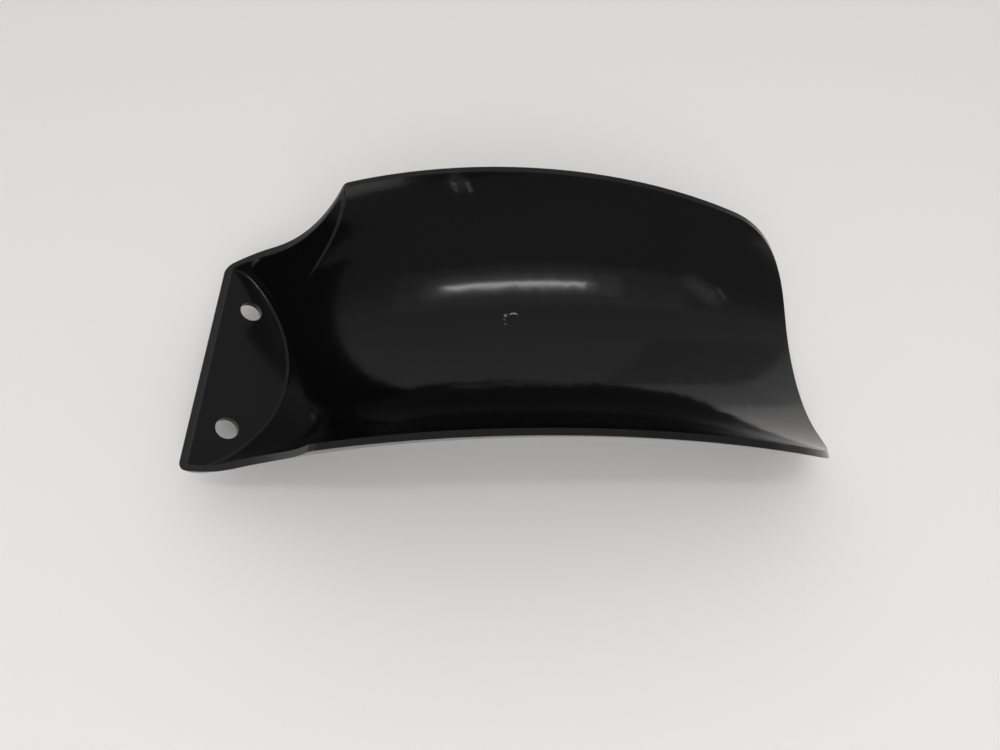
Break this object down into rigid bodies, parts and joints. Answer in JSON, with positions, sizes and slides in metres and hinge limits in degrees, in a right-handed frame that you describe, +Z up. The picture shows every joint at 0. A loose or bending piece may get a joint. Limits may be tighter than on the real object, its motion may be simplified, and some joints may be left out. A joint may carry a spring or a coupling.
{
  "type": "motorcycle mudguard",
  "caption": "One-piece moulded plastic splash guard for a motorcycle's rear shock: a saddle-curved open trough, closed at one end by a sloping plate with bolt holes.",
  "frame": {"origin": "centre of the bounding box in X and Y, on the floor the shell rests on", "axes": "+X from the bolt end to the tail, +Y across the trough, +Z up out of its open mouth"},
  "size_m": [0.247, 0.1208, 0.0672],
  "materials": {
    "shell_plastic": "glossy black, with a slight orange peel"
  },
  "bodies": {
    "root": {"mudguard_shell": "shell_plastic"}
  },
  "joints": []
}
